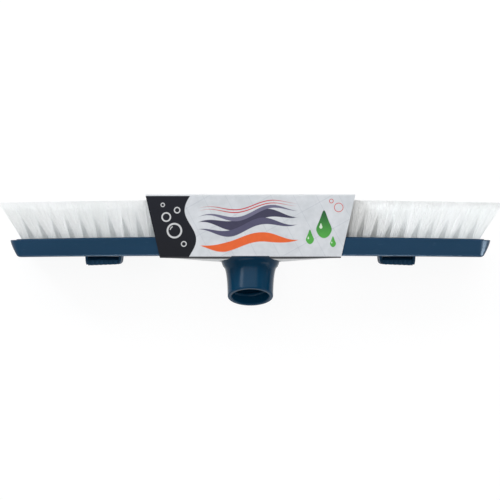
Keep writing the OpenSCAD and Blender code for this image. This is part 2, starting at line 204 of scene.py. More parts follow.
MM = 0.001
block_t = 11.6 * MM
back_drop = 0.95 * MM
end_thin = 0.8 * MM
end_rake = 5.3 * MM
end_crown = 0.8 * MM
corner_r = 8 * MM
edge_r = 1.4 * MM
rim_r = 0.5 * MM
side_draft = 0.4 * MM
plinth_h = 0.5 * MM
plinth_rim = 3.2 * MM
plinth_round = 0.35 * MM
plinth_fillet = 0.12 * MM
rake_power = 1.4
block_low, block_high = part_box("block")
block_len = block_high.x - block_low.x
block_w = block_high.z - block_low.z
z_mid = (block_high.z + block_low.z) / 2
back_y0 = block_high.y - plinth_h - block_t

rows = 5
tuft_pitch = 8.6 * MM
row_pitch = 8.5 * MM
full_row = 34
hole_r = 2.2 * MM
hole_depth = 8 * MM
fan_end = math.radians(25)
row_flare = math.radians(8)


def sag(x, drop):
    """Fall of an arched line at x: drop at the block's ends, growing with the square of x."""
    return -drop * (2 * x / block_len) ** 2


def back_y(x):
    """Height of the block's back at x."""
    return back_y0 + sag(x, back_drop)


def face_y(x):
    """Height of the bristle face at x."""
    return back_y0 + block_t + sag(x, back_drop + end_thin)


def row_of_tufts(row):
    """Where a row's tufts leave the plinth, and three directions for each: along it and two across.
    A tuft leans to the block's end in step with x, and its row leans to the long side."""
    count = full_row - (row + 1) % 2
    x = (np.arange(count) - (count - 1) / 2) * tuft_pitch
    fan = fan_end * x / ((full_row - 1) * tuft_pitch / 2)
    flare = row_flare * (row - 3) / 2
    z = np.full(count, z_mid + (row - 3) * row_pitch)
    start = np.stack([x, face_y(x) + plinth_h, z], -1)
    along = np.stack([np.sin(fan) * math.cos(flare), np.cos(fan) * math.cos(flare),
                      np.full(count, math.sin(flare))], -1)
    across = np.stack([np.cos(fan), -np.sin(fan), 0 * fan], -1)
    return start, along, across, np.cross(along, across)


def mesh_of(name, points, *face_sets):
    """A mesh from an array of points and one or more arrays of faces, each with its own corners."""
    mesh = bpy.data.meshes.new(name)
    starts, corners = [], 0
    for faces in face_sets:
        starts.append(corners + np.arange(len(faces)) * faces.shape[1])
        corners += faces.size
    starts = np.concatenate(starts).astype(np.int32)
    mesh.vertices.add(len(points))
    mesh.vertices.foreach_set("co", np.asarray(points, np.float32).ravel())
    mesh.loops.add(corners)
    mesh.loops.foreach_set("vertex_index",
                           np.concatenate([f.ravel() for f in face_sets]).astype(np.int32))
    mesh.polygons.add(len(starts))
    mesh.polygons.foreach_set("loop_start", starts)
    mesh.update(calc_edges=True)
    mesh.validate()
    return mesh


def grid_quads(loops, around, closed=True):
    """Quads between each loop of a grid and the next, with the points numbered loop by loop."""
    i = np.arange(loops - 1)[:, None] * around
    k = np.arange(around if closed else around - 1)[None, :]
    k_next = (k + 1) % around
    return np.stack([i + k, i + k_next, i + around + k_next, i + around + k], -1).reshape(-1, 4)


def turn_outwards(mesh, mixed_up=False):
    """Turns a closed mesh's faces over if they point inwards, told by the sign of its volume.
    Mixed-up faces are made to agree first."""
    work = bmesh.new()
    work.from_mesh(mesh)
    if mixed_up:
        bmesh.ops.recalc_face_normals(work, faces=work.faces)
    if work.calc_volume(signed=True) < 0:
        bmesh.ops.reverse_faces(work, faces=work.faces)
    work.to_mesh(mesh)
    work.free()


def object_of(mesh):
    """Puts a mesh in the scene as an object at the origin."""
    made = bpy.data.objects.new(mesh.name, mesh)
    bpy.context.scene.collection.objects.link(made)
    return made


def settle(piece):
    """Bakes a piece's modifiers into its mesh."""
    depsgraph = bpy.context.evaluated_depsgraph_get()
    baked = bpy.data.meshes.new_from_object(piece.evaluated_get(depsgraph))
    piece.modifiers.clear()
    piece.data = baked


def smooth(piece, degrees=35):
    """Shades a piece smooth and leaves its edges sharper than that angle crisp."""
    piece.data.shade_smooth()
    piece.data.set_sharp_from_angle(angle=math.radians(degrees))


def outline(half_len, half_wide, corner):
    """A block's outline from above as x, z: crowned end, corner arc and straight side, mirrored.
    The crown bows by end_crown, and the arc starts where the two share a slope."""
    begin = 0.15
    for _ in range(6):
        reach = half_wide - corner + corner * math.sin(begin)
        begin = math.atan(2 * end_crown / reach)
    t = np.linspace(0, 1, 7)[:-1]
    turn = np.linspace(begin, math.pi / 2, 15)
    s = np.linspace(1, 0, 61)[1:]
    centre = half_len - end_crown - corner * math.cos(begin)
    x = np.concatenate([half_len - end_crown * t ** 2, centre + corner * np.cos(turn), centre * s])
    z = np.concatenate([reach * t, half_wide - corner + corner * np.sin(turn),
                        np.full(len(s), half_wide)])
    x = np.concatenate([x, -x[-2::-1]])
    z = np.concatenate([z, z[-2::-1]])
    return np.concatenate([x, x[-2:0:-1]]), np.concatenate([z, -z[-2:0:-1]])


def block_loop(f, lift, end_in, side_in):
    """One loop of the block: f runs from 0 at the bristle face to 1 at the back, and lift raises
    it off the face. The outline shrinks by end_in and side_in."""
    corner = max(corner_r - max(end_in, side_in), 3 * MM)
    x, z = outline(block_len / 2 - end_in, block_w / 2 - side_in, corner)
    return np.stack([x, face_y(x) + lift - f * (face_y(x) - back_y(x)), z_mid + z], -1)


def block_loops():
    """The block as a stack of loops, from the top of its plinth down to its back."""
    plinth_in = plinth_rim + rim_r
    loops = []
    for q in np.radians(np.linspace(0, 90, 5)):
        shift = plinth_in + plinth_round * (1 - math.sin(q))
        loops.append(block_loop(0, plinth_h - plinth_round * (1 - math.cos(q)), shift, shift))
    loops.append(block_loop(0, plinth_fillet, plinth_in, plinth_in))
    loops.append(block_loop(0, 0, plinth_in - plinth_fillet, plinth_in - plinth_fillet))
    for q in np.radians(np.linspace(0, 90, 5)):
        shift = rim_r * (1 - math.sin(q))
        loops.append(block_loop(rim_r * (1 - math.cos(q)) / block_t, 0, shift, shift))
    edge_f = 1 - edge_r / block_t
    for f in np.linspace(rim_r / block_t, edge_f, 9)[1:]:
        loops.append(block_loop(f, 0, end_rake * f ** rake_power, side_draft * f))
    for q in np.radians(np.linspace(0, 90, 8))[1:]:
        f = edge_f + (1 - edge_f) * math.sin(q)
        shift = edge_r * (1 - math.cos(q))
        loops.append(block_loop(f, 0, end_rake * f ** rake_power + shift, side_draft * f + shift))
    return np.stack(loops)


def across_quads(around, first):
    """Strips that close a mirrored loop, from each point to its mirror image. first is the number
    of the loop's first point."""
    i = np.arange(1, around // 2 - 1)
    return first + np.stack([i, i + 1, around - i - 1, around - i], -1)


def round_turn(count):
    """Angles of count points spread evenly round a circle."""
    return np.arange(count) * 2 * math.pi / count


def spokes(turn, first, second):
    """Vectors at the angles turn, from first towards second."""
    return np.cos(turn)[..., None] * first + np.sin(turn)[..., None] * second


def rods(starts, along, across, beside, radius, low, high, sides):
    """Closed prisms round each direction, from low to high along it, as points and faces."""
    ring = radius * spokes(round_turn(sides), across[:, None], beside[:, None])
    ends = np.stack([starts[:, None] + low * along[:, None] + ring,
                     starts[:, None] + high * along[:, None] + ring], 1)
    base = np.arange(len(starts))[:, None, None] * 2 * sides
    walls = (base + grid_quads(2, sides)[None]).reshape(-1, 4)
    lids = np.concatenate([base[:, 0] + np.arange(sides)[::-1],
                           base[:, 0] + sides + np.arange(sides)])
    return ends.reshape(-1, 3), walls, lids


clip_len = 23 * MM
clip_w = 20 * MM
clip_offset = (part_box("right_clip_base")[0].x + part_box("right_clip_base")[1].x) / 2
tray_t = 1.5 * MM
pocket_gap = 0.1 * MM
cutter_reach = 5 * MM


def bore_block(block):
    """Drills the tuft holes and cuts the two clip pockets, as one exact Boolean."""
    cutters = []
    for row in range(1, rows + 1):
        points, walls, lids = rods(*row_of_tufts(row), hole_r, -hole_depth, 3 * MM, 18)
        cutters.append(object_of(mesh_of("drill", points, walls, lids)))
    for side in (-1, 1):
        corner = np.array([clip_len / 2, 0, (clip_w - 1 * MM) / 2]) + (pocket_gap, 0, pocket_gap)
        centre = np.array([side * clip_offset, 0, z_mid])
        box = np.array([(i, j, k) for i in (-1, 1) for j in (0, 1) for k in (-1, 1)], float)
        box = centre + box * corner
        outside = np.arange(8) // 2 % 2 == 0
        box[:, 1] = back_y(clip_offset) + np.where(outside, -cutter_reach, tray_t)
        faces = np.array([(0, 1, 3, 2), (4, 6, 7, 5), (0, 4, 5, 1), (2, 3, 7, 6), (0, 2, 6, 4),
                          (1, 5, 7, 3)])
        cutters.append(object_of(mesh_of("pocket", box, faces)))
    tools = bpy.data.collections.new("cutters")
    for cutter in cutters:
        turn_outwards(cutter.data)
        tools.objects.link(cutter)
    cut = block.modifiers.new("bores", "BOOLEAN")
    cut.operation, cut.operand_type = "DIFFERENCE", "COLLECTION"
    cut.collection, cut.solver = tools, "EXACT"
    settle(block)
    for cutter in cutters:
        bpy.data.objects.remove(cutter)
    bpy.data.collections.remove(tools)


def even_normals(piece, degrees=35):
    """Smooth shading in which large flat faces keep their own direction."""
    smooth(piece, degrees)
    weigh = piece.modifiers.new("even", "WEIGHTED_NORMAL")
    weigh.keep_sharp = True
    weigh.weight = 80


def group_of(name, inputs, outputs):
    """A shader node group with these float or vector inputs and float outputs, and its inputs."""
    group = bpy.data.node_groups.new(name, "ShaderNodeTree")
    for label, kind in inputs.items():
        group.interface.new_socket(label, in_out="INPUT", socket_type="NodeSocket" + kind)
    for label in outputs:
        group.interface.new_socket(label, in_out="OUTPUT", socket_type="NodeSocketFloat")
    return group, put(group, "NodeGroupInput").outputs


def use(tree, group, values):
    """Places a node group in a material, fills its inputs, and returns its outputs."""
    return put(tree, "ShaderNodeGroup", values, node_tree=group).outputs


def noise(tree, vector, size, detail=2.0, rough=0.5):
    """Noise between 0 and 1 whose blobs are about size across."""
    made = put(tree, "ShaderNodeTexNoise", {"Vector": vector, "Scale": 1 / size, "Detail": detail,
                                            "Roughness": rough})
    return made.outputs["Fac"]


def moulded_skin():
    """Skin of a moulded plastic part: the fine grain of the steel, slow waves where it sank as it
    cooled, flow clouds in its colour, uneven gloss, and faint scuffs."""
    group, given = group_of("moulded_skin", {"Vector": "Vector", "Grain": "Float"},
                            ("Height", "Clouds", "Gloss", "Scuffs"))
    place = given["Vector"]
    grain = noise(group, place, 0.35 * MM, 1.0)
    waves = noise(group, place, 9 * MM, 1.0)
    height = calc(group, "MULTIPLY_ADD", grain, given["Grain"],
                  calc(group, "MULTIPLY", waves, 0.10 * MM))
    stretched = put(group, "ShaderNodeMapping", {"Vector": place, "Scale": (0.25, 1, 1)}).outputs[0]
    clouds = ramp_between(group, noise(group, stretched, 22 * MM, 3.0), 0.3, 0.7)
    gloss = noise(group, place, 4 * MM, 3.0)
    hair = put(group, "ShaderNodeMapping", {"Vector": place, "Rotation": (0.1, 0.2, 0.5),
                                            "Scale": (0.12, 1.6, 1.0)}).outputs[0]
    hairs = ramp_between(group, noise(group, hair, 0.9 * MM, 2.0), 0.66, 0.74)
    patches = ramp_between(group, noise(group, place, 17 * MM, 1.0), 0.5, 0.7)
    put(group, "NodeGroupOutput", {"Height": height, "Clouds": clouds, "Gloss": gloss,
                                   "Scuffs": calc(group, "MULTIPLY", hairs, patches)})
    return group


def mixed(tree, factor, first, second):
    """A colour between first and second."""
    values = {"Factor": factor, 6: first, 7: second}
    return put(tree, "ShaderNodeMix", values, data_type="RGBA").outputs[2]


skin_group = moulded_skin()


def plastic(name, deep, pale, worn, rough, grain, shine):
    """Coloured plastic: clouds between two close shades, paler scuffs, and a fine bump."""
    made, tree = blank_material(name)
    place = put(tree, "ShaderNodeTexCoord").outputs["Object"]
    skin = use(tree, skin_group, {"Vector": place, "Grain": grain})
    base = mixed(tree, skin["Clouds"], deep, pale)
    base = mixed(tree, calc(tree, "MULTIPLY", skin["Scuffs"], 0.35), base, worn)
    gloss = calc(tree, "MULTIPLY_ADD", skin["Gloss"], 0.12, rough - 0.06)
    gloss = calc(tree, "MULTIPLY_ADD", skin["Scuffs"], 0.12, gloss)
    bumped(tree, skin["Height"], 0.6, {"Base Color": base, "Roughness": gloss,
                                       "Specular IOR Level": shine, "IOR": 1.49})
    return made


block_plastic = plastic("satin_navy_plastic", deep=(0.0058, 0.037, 0.080, 1),
                        pale=(0.0082, 0.042, 0.091, 1), worn=(0.05, 0.10, 0.16, 1),
                        rough=0.34, grain=0.006 * MM, shine=0.18)

loops = block_loops()
around = loops.shape[1]
back_first = (len(loops) - 1) * around
end_caps = [[first, first + 1, first + around - 1] for first in (0, back_first)]
end_caps += [[first + around // 2 - 1, first + around // 2, first + around // 2 + 1]
             for first in (0, back_first)]
block = object_of(mesh_of("block_body", loops.reshape(-1, 3), grid_quads(len(loops), around),
                          across_quads(around, 0), across_quads(around, back_first),
                          np.array(end_caps)))
turn_outwards(block.data, mixed_up=True)
bore_block(block)
even_normals(block)
block.data.materials.append(block_plastic)
block_only = bpy.data.collections.new("block_only")
block_only.objects.link(block)
for lamp_name in ("lamp_corner", "lamp_edge"):
    bpy.data.objects[lamp_name].light_linking.receiver_collection = block_only
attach(block, "brush_head")
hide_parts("block")


# ---- Tufts -------------------------------------------------------------------------------------
# Each tuft is a bundle of straight white nylon filaments, folded in two and stapled into its hole.
# The filaments leave the hole parallel, open out, and are trimmed together to an arched surface.
# They cast no shadow, as light goes on through clear nylon; painted shade darkens the roots and the
# inner rows instead.

filament_r = 0.17 * MM
filaments = 130
stations = 5
root_r = 2.05 * MM
tip_spread = 5.0 * MM
tip_rise = 23.4 * MM
root_sunk = 2.0 * MM
tuft_lean = math.radians(0.5)
tuft_opening = 0.05
tuft_tone = 0.14
filament_tone = 0.16
filament_turn = 0.25
filament_opening = 0.10
filament_bow = 0.22 * MM
filament_drift = 0.25 * MM
filament_trim = 0.24 * MM
third_turn = 2.0944
rng = np.random.default_rng(11)


def filament_paths(start, along, across, beside):
    """Points along the filaments of a row's tufts, by tuft, filament and station. A filament starts
    at its place in the hole and drifts outwards in step with its length, with a slight bow of
    its own. Its length puts its end on the trimmed surface, give or take a little."""
    count = len(start)
    shape = (count, filaments)
    lean = rng.normal(0, tuft_lean, (count, 2))
    along = along + lean[:, :1] * across + lean[:, 1:] * beside
    along /= np.linalg.norm(along, axis=1, keepdims=True)
    golden = math.pi * (3 - math.sqrt(5))
    rank = np.arange(filaments)
    angle = rank * golden + rng.uniform(0, 6.28, (count, 1)) + rng.normal(0, filament_turn, shape)
    share = np.sqrt((rank + 0.5) / filaments) * np.ones(shape)
    heart = spokes(angle, across[:, None], beside[:, None])
    opened = tip_spread * (1 + rng.normal(0, tuft_opening, (count, 1))) * share
    opened = opened * (1 + rng.normal(0, filament_opening, shape))
    stray = rng.normal(0, 1, shape + (3,))
    stray -= (stray * along[:, None]).sum(-1, keepdims=True) * along[:, None]
    bow = rng.normal(0, filament_bow, shape + (1,)) * stray
    bow = bow / np.linalg.norm(stray, axis=-1, keepdims=True)
    drift = rng.normal(0, filament_drift, shape + (1,)) * heart
    trim = rng.normal(0, filament_trim, shape)

    def at(length, t):
        """Points at share t of the way along filaments of this length."""
        out = root_r * share + (opened - root_r * share) * t
        return (start[:, None] + along[:, None] * (length * t)[..., None] + heart * out[..., None]
                + bow * np.sin(math.pi * t) + drift * t)

    length = np.full(shape, tip_rise)
    for _ in range(3):
        tip = at(length, 1.0)
        goal = face_y(tip[..., 0]) + tip_rise + trim
        length += (goal - tip[..., 1]) / along[:, None, 1]
    root = at(length, 0.0) - along[:, None] * root_sunk
    return np.stack([root] + [at(length, t) for t in np.linspace(0, 1, stations)[1:]], 2)


def bristle_mesh(row):
    """A row's filaments as one mesh of three-sided rods, a little thinner at the tip. Its
    attributes give each filament a tone, tell the inner rows from the outer two, and run from 0
    at the root to 1 at the tip."""
    start, along, across, beside = row_of_tufts(row)
    shape = (len(start), filaments)
    paths = filament_paths(start, along, across, beside)
    thick = filament_r * np.array([1.0] * (stations - 1) + [0.8])
    spin = rng.uniform(0, 6.28, shape)[..., None] + np.arange(3) * third_turn
    ring = spokes(spin, across[:, None, None], beside[:, None, None])
    points = paths[:, :, :, None] + thick[None, None, :, None, None] * ring[:, :, None]
    number = np.arange(len(start) * filaments)[:, None, None] * stations * 3
    walls = (number + grid_quads(stations, 3)[None]).reshape(-1, 4)
    lids = number[:, 0] + (stations - 1) * 3 + np.arange(3)
    mesh = mesh_of(f"bristles_row_{row}", points.reshape(-1, 3), walls, lids)
    tone = rng.normal(0.5, filament_tone, shape) + rng.normal(0, tuft_tone, (len(start), 1))
    whole = np.ones(shape + (stations, 3))
    for label, value in (("tone", np.clip(tone, 0, 1)[:, :, None, None] * whole),
                         ("inner", whole * (1 < row < rows)),
                         ("along", np.linspace(0, 1, stations)[:, None] * whole)):
        attribute = mesh.attributes.new(label, "FLOAT", "POINT")
        attribute.data.foreach_set("value", value.astype(np.float32).ravel())
    mesh.shade_smooth()
    return mesh


def bristle_material():
    """White nylon filament, each one a shade of its own. Painted shade darkens it towards the root,
    where the block shades it, and most in the inner rows, which stand in the shade of the outer
    ones; light comes through at the tips."""
    made, tree = blank_material("white_nylon_filament")
    tone, along, inner = (put(tree, "ShaderNodeAttribute", attribute_name=name).outputs["Fac"]
                          for name in ("tone", "along", "inner"))
    place = put(tree, "ShaderNodeTexCoord").outputs["Object"]
    cool = mixed(tree, tone, (0.925, 0.935, 0.93, 1), (0.985, 0.985, 0.985, 1))
    # Painted shade: darker towards the root of every filament, and darker still in the inner rows.
    root = ramp_between(tree, along, 0.0, 0.3, 0.18, 0.0)
    painted_shade_base = mixed(tree, root, cool, (0.72, 0.745, 0.74, 1))
    shade = calc(tree, "MULTIPLY", inner, ramp_between(tree, along, 0.1, 0.85, 0.26, 0.0))
    painted_shade_base = mixed(tree, shade, painted_shade_base, (0.46, 0.48, 0.475, 1))
    specks = ramp_between(tree, noise(tree, place, 1.2 * MM, 2.0), 0.3, 0.7)
    base = mixed(tree, calc(tree, "MULTIPLY", specks, 0.06), painted_shade_base, (0.70, 0.71, 0.70, 1))
    gloss = calc(tree, "MULTIPLY_ADD", specks, 0.15, 0.38)
    shader = put(tree, "ShaderNodeBsdfPrincipled", {"Base Color": base, "Roughness": gloss,
                                                    "IOR": 1.53, "Specular IOR Level": 0.4})
    through = put(tree, "ShaderNodeBsdfTranslucent", {"Color": base})
    share = ramp_between(tree, along, 0.6, 1.0, 0.32, 0.48)
    cover(tree, put(tree, "ShaderNodeMixShader",
                    {0: share, 1: shader.outputs[0], 2: through.outputs[0]}))
    return made


nylon = bristle_material()
for row in range(1, rows + 1):
    bristles = object_of(bristle_mesh(row))
    bristles.data.materials.append(nylon)
    bristles.visible_shadow = False
    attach(bristles, "brush_head")
    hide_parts(f"tufts_row_{row}")


# ---- Tuft anchors ------------------------------------------------------------------------------
# A short piece of flat galvanised wire lies across the bottom of each hole and holds the fold of
# its tuft down by biting into the plastic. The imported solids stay, with a drawn zinc finish.

def metal(name, bright, dull, rough, size):
    """Bare metal wire or pin: draw lines and cloudy oxide between two shades."""
    made, tree = blank_material(name)
    place = put(tree, "ShaderNodeTexCoord").outputs["Object"]
    drawn = put(tree, "ShaderNodeMapping", {"Vector": place, "Scale": (0.15, 1, 1)}).outputs[0]
    lines = noise(tree, drawn, size, 3.0)
    clouds = ramp_between(tree, noise(tree, place, 6 * size, 3.0), 0.35, 0.65)
    base = mixed(tree, clouds, bright, dull)
    gloss = calc(tree, "MULTIPLY_ADD", clouds, 0.18, calc(tree, "MULTIPLY_ADD", lines, 0.1, rough))
    bumped(tree, calc(tree, "MULTIPLY", lines, 0.01 * MM), 0.5,
           {"Base Color": base, "Metallic": 1.0, "Roughness": gloss})
    return made


def finish_node(name, material):
    """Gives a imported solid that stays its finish."""
    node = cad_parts[name]
    node.data.materials.clear()
    node.data.materials.append(material)


zinc_wire = metal("galvanised_wire", (0.62, 0.63, 0.65, 1), (0.45, 0.46, 0.48, 1), 0.32, 0.3 * MM)
for row in range(1, rows + 1):
    finish_node(f"anchors_row_{row}", zinc_wire)


# ---- Handle socket -----------------------------------------------------------------------------
# A glossier moulding welded to the block's back: a tube that flares out to its foot and leans to
# the front, with a rounded lip and a coarse thread inside for the end of a pole.

socket_len = 28.9 * MM
socket_lean = math.radians(25)
mouth_r = 14.3 * MM
foot_flare = 6.5 * MM
flare_run = 7.5 * MM
flare_top = 5 * MM
foot_extra = 0.9 * MM
foot_high = 7 * MM
foot_fall = 220
foot_fillet = 3.5 * MM
lip_r = 0.7 * MM
mouth_round = 0.25 * MM
lead_in = 0.35 * MM
bore_r = 11.85 * MM
bore_depth = 24 * MM
thread_pitch = 5 * MM
thread_start = 0.5 * MM
thread_crest = 0.95 * MM
thread_half = 1.10 * MM
thread_slope = 0.42 * MM
sideways = np.array([1.0, 0, 0])
socket_base = np.array([0, back_y0, z_mid])
socket_axis = np.array([0, -math.cos(socket_lean), math.sin(socket_lean)])


def tube_radius(s):
    """Radius of the leaning tube at s along its axis: a flare that dies away as an exponential."""
    return mouth_r + foot_flare * np.exp(-s / flare_run)


def foot_radius(h):
    """Radius of the foot at h off the block: an exponential flare by foot_fall a metre."""
    return mouth_r + foot_flare * np.exp(-h * foot_fall)


def socket_gap(points):
    """Signed distance from the socket's outside: the leaning tube and the round foot, joined by a
    fillet of foot_fillet. The foot closes in above foot_high, where the tube takes over."""
    away = points - socket_base
    s = away @ socket_axis
    tube_rho = np.linalg.norm(away - s[..., None] * socket_axis, axis=-1)
    tube = tube_rho - tube_radius(np.maximum(s, flare_top))
    h = -away[..., 1]
    foot_r = foot_radius(np.minimum(h, foot_high)) + foot_extra - 2 * np.maximum(h - foot_high, 0)
    foot = np.hypot(away[..., 0], away[..., 2]) - foot_r
    near = np.maximum(foot_fillet - np.abs(tube - foot), 0) / foot_fillet
    return np.minimum(tube, foot) - near ** 2 * foot_fillet / 4


def socket_outside(sections, around):
    """Loops up the outside, in planes that tilt from the block's back to the mouth. Each point is
    found on its ray from the axis by halving, 40 times."""
    share = np.linspace(0, 1, sections)
    s = share * (socket_len - lip_r)
    tilt = socket_lean * np.clip(share / 0.75, 0, 1)
    upwards = np.stack([0 * tilt, np.sin(tilt), np.cos(tilt)], -1)
    ray = spokes(round_turn(around), sideways, upwards[:, None])
    centre = socket_base + s[:, None, None] * socket_axis
    inner = np.full((sections, around), 5 * MM)
    outer = np.full((sections, around), 32 * MM)
    for _ in range(40):
        middle = (inner + outer) / 2
        inside = socket_gap(centre + middle[..., None] * ray) < 0
        inner, outer = np.where(inside, middle, inner), np.where(inside, outer, middle)
    return centre + inner[..., None] * ray


def axis_loops(radius, s, around):
    """Loops round the socket's axis: radius is one number or one per angle for each station s."""
    upwards = np.array([0, math.sin(socket_lean), math.cos(socket_lean)])
    ray = spokes(round_turn(around), sideways, upwards)
    radius = np.broadcast_to(np.asarray(radius, float).reshape(len(s), -1), (len(s), around))
    return socket_base + s[:, None, None] * socket_axis + radius[..., None] * ray[None]


def thread_radius(s, around):
    """Bore radius by station and angle: a ridge with a flat crest that climbs one pitch each turn,
    and fades in below the mouth and out above the floor."""
    depth = socket_len - thread_start - s[:, None]
    turns = depth / thread_pitch - np.arange(around)[None] / around
    off = np.abs(turns % 1 - 0.5) * thread_pitch
    ridge = np.clip((thread_half - off) / thread_slope, 0, 1)
    ridge = ridge ** 2 * (3 - 2 * ridge)
    fade_in = np.clip((turns - 0.15) / 0.3, 0, 1)
    fade_out = np.clip((bore_depth - 3 * MM - depth) / (2 * MM), 0, 1)
    return bore_r - thread_crest * ridge * fade_in * fade_out


def socket_mesh():
    """Outside, rounded lip, chamfer, threaded bore and floor as one closed surface."""
    around = 144
    outside = socket_outside(40, around)
    base = outside[:1] + np.array([0, 0.3 * MM, 0])
    turn = np.radians(np.linspace(0, 90, 7))[1:]
    lip = axis_loops(tube_radius(socket_len) - lip_r * (1 - np.cos(turn)),
                     socket_len - lip_r * (1 - np.sin(turn)), around)
    inner_r = bore_r + lead_in
    turn = np.radians(np.linspace(0, 90, 5))
    edge = axis_loops(inner_r + mouth_round * (1 - np.sin(turn)),
                      socket_len - mouth_round * (1 - np.cos(turn)), around)
    cone_s = socket_len - lead_in - mouth_round
    cone = axis_loops(np.array([bore_r]), np.array([cone_s]), around)
    s = np.linspace(cone_s - mouth_round, socket_len - bore_depth + 0.4 * MM, 170)
    bore = axis_loops(thread_radius(s, around), s, around)
    floor_s = socket_len - bore_depth
    floor = axis_loops(np.array([bore_r - 0.1 * MM, bore_r - 0.4 * MM, 6 * MM, 1 * MM]),
                       np.array([floor_s + 0.1 * MM, floor_s, floor_s, floor_s]), around)
    loops = np.concatenate([base, outside, lip, edge, cone, bore, floor])
    points = loops.reshape(-1, 3)
    foot_lid = np.arange(around)[None, ::-1]
    floor_lid = (len(loops) - 1) * around + np.arange(around)[None]
    return mesh_of("socket_body", points, grid_quads(len(loops), around), foot_lid, floor_lid)


socket = object_of(socket_mesh())
turn_outwards(socket.data)
smooth(socket, 40)
socket_plastic = plastic("glossy_navy_plastic", deep=(0.0012, 0.032, 0.073, 1),
                         pale=(0.0025, 0.037, 0.083, 1), worn=(0.05, 0.10, 0.16, 1),
                         rough=0.17, grain=0.002 * MM, shine=0.11)
socket.data.materials.append(socket_plastic)
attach(socket, "brush_head")
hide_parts("handle_socket")


# ---- Cloth clips -------------------------------------------------------------------------------
# Two sprung clips grip the edge of a floor cloth. Each has a tray let into the block, with two
# cheeks that carry a steel pin, a ribbed jaw that turns on it, and a torsion spring round it.
# The spring holds the empty clip shut, so the jaw's nip all but touches the tray.

pin_h = 2.5 * MM
pin_back = 2 * MM
nip_gap = 0.3 * MM
nip_shut = 0.05 * MM
nip_z = 5.3 * MM
nip_half = 1.1 * MM
spring_wire = 0.5 * MM
spring_turns = 6
coil_gap = 0.06 * MM
coil_r = 1 * MM + 0.2 * MM + spring_wire / 2
leg_top = pin_h + coil_r + spring_wire / 2 + 0.1 * MM
leg_gap = 0.05 * MM
leg_rise = 0.35 * MM
leg_bend = 2.4 * MM
steps_a_turn = 26


def softened(node_name, piece_name, width, close_nip=False):
    """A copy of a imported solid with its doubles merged, its flats joined and its edges rounded.
    close_nip moves a jaw's nip up to its tray, to nip_shut from it."""
    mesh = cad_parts[node_name].data.copy()
    mesh.name = piece_name
    work = bmesh.new()
    work.from_mesh(mesh)
    bmesh.ops.remove_doubles(work, verts=work.verts, dist=0.002 * MM)
    bmesh.ops.dissolve_limit(work, angle_limit=math.radians(2), verts=work.verts, edges=work.edges)
    for vert in work.verts if close_nip else ():
        at_gap = abs(back_y(clip_offset) - vert.co.y - nip_gap) < 0.05 * MM
        if at_gap and abs(vert.co.z - z_mid - nip_z) < nip_half:
            vert.co.y += nip_gap - nip_shut
    work.to_mesh(mesh)
    work.free()
    mesh.materials.clear()
    piece = object_of(mesh)
    bevel = piece.modifiers.new("edges", "BEVEL")
    bevel.width, bevel.segments, bevel.limit_method = width, 2, "ANGLE"
    bevel.angle_limit = math.radians(38)
    bevel.harden_normals = False
    settle(piece)
    even_normals(piece, 50)
    return piece


def spring_path(side):
    """Middle of the spring's wire: a leg on the tray, close turns round the pin, and a leg under
    the thumb end of the jaw."""
    length = spring_turns * (spring_wire + coil_gap)
    share = np.linspace(0, 1, steps_a_turn * spring_turns + 1)
    turn = np.radians(270 + (360 * spring_turns + 180) * share)
    coil = np.stack([length * (share - 0.5), pin_h + coil_r * np.sin(turn),
                     -pin_back + coil_r * np.cos(turn)], -1)
    tray_leg, jaw_leg = spring_wire / 2 + leg_gap, leg_top - spring_wire / 2 - leg_gap
    leg_end = 2 * MM - clip_w / 2
    first = np.array([[-length / 2, tray_leg, leg_end],
                      [-length / 2, tray_leg + leg_rise, -pin_back - leg_bend]])
    last = np.array([[length / 2, jaw_leg, leg_end]])
    local = np.concatenate([first, coil, last])
    return np.stack([side * (clip_offset + local[:, 0]), back_y(clip_offset) - local[:, 1],
                     z_mid + local[:, 2]], -1)


def wire_mesh(name, path, radius, sides):
    """Round wire along a path, closed at both ends. Each ring stands square to the path there."""
    ahead = np.gradient(path, axis=0)
    ahead /= np.linalg.norm(ahead, axis=1, keepdims=True)
    first = sideways - ahead * ahead[:, :1]
    first /= np.linalg.norm(first, axis=1, keepdims=True)
    second = np.cross(ahead, first)
    ring = spokes(round_turn(sides), first[:, None], second[:, None])
    points = (path[:, None] + radius * ring).reshape(-1, 3)
    lids = np.stack([np.arange(sides)[::-1], (len(path) - 1) * sides + np.arange(sides)])
    mesh = mesh_of(name, points, grid_quads(len(path), sides), lids)
    turn_outwards(mesh)
    mesh.shade_smooth()
    return mesh


# Painted light: the clips are of the block's navy plastic, made paler here to make up for the shade
# they lie in under the block's back edge.
clip_plastic_painted_paler = plastic("dark_navy_plastic", deep=(0.0085, 0.043, 0.088, 1),
                       pale=(0.0125, 0.054, 0.108, 1), worn=(0.04, 0.09, 0.14, 1),
                       rough=0.50, grain=0.005 * MM, shine=0.12)
pin_steel = metal("pin_steel", (0.60, 0.60, 0.62, 1), (0.42, 0.42, 0.44, 1), 0.22, 0.3 * MM)
spring_steel = metal("spring_steel", (0.50, 0.50, 0.52, 1), (0.30, 0.30, 0.33, 1), 0.28, 0.25 * MM)
for side, name in ((-1, "left"), (1, "right")):
    base = softened(f"{name}_clip_base", f"{name}_clip_tray", 0.2 * MM)
    base.data.materials.append(clip_plastic_painted_paler)
    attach(base, "brush_head")
    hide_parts(f"{name}_clip_base")
    jaw = softened(f"{name}_clip_jaw", f"{name}_clip_lever", 0.18 * MM, close_nip=True)
    jaw.data.materials.append(clip_plastic_painted_paler)
    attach(jaw, f"{name}_jaw")
    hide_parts(f"{name}_clip_jaw")
    finish_node(f"{name}_clip_pin", pin_steel)
    spring = object_of(wire_mesh(f"{name}_torsion_spring", spring_path(side), spring_wire / 2, 10))
    spring.data.materials.append(spring_steel)
    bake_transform(spring)
    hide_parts(f"{name}_clip_spring")


# ---- Card sleeve -------------------------------------------------------------------------------
# A band of coated white board, folded round the middle of the head and glued on its rear panel.
# It is wider at the tips. Its back panel bulges round the socket's foot, which stands in a slot.

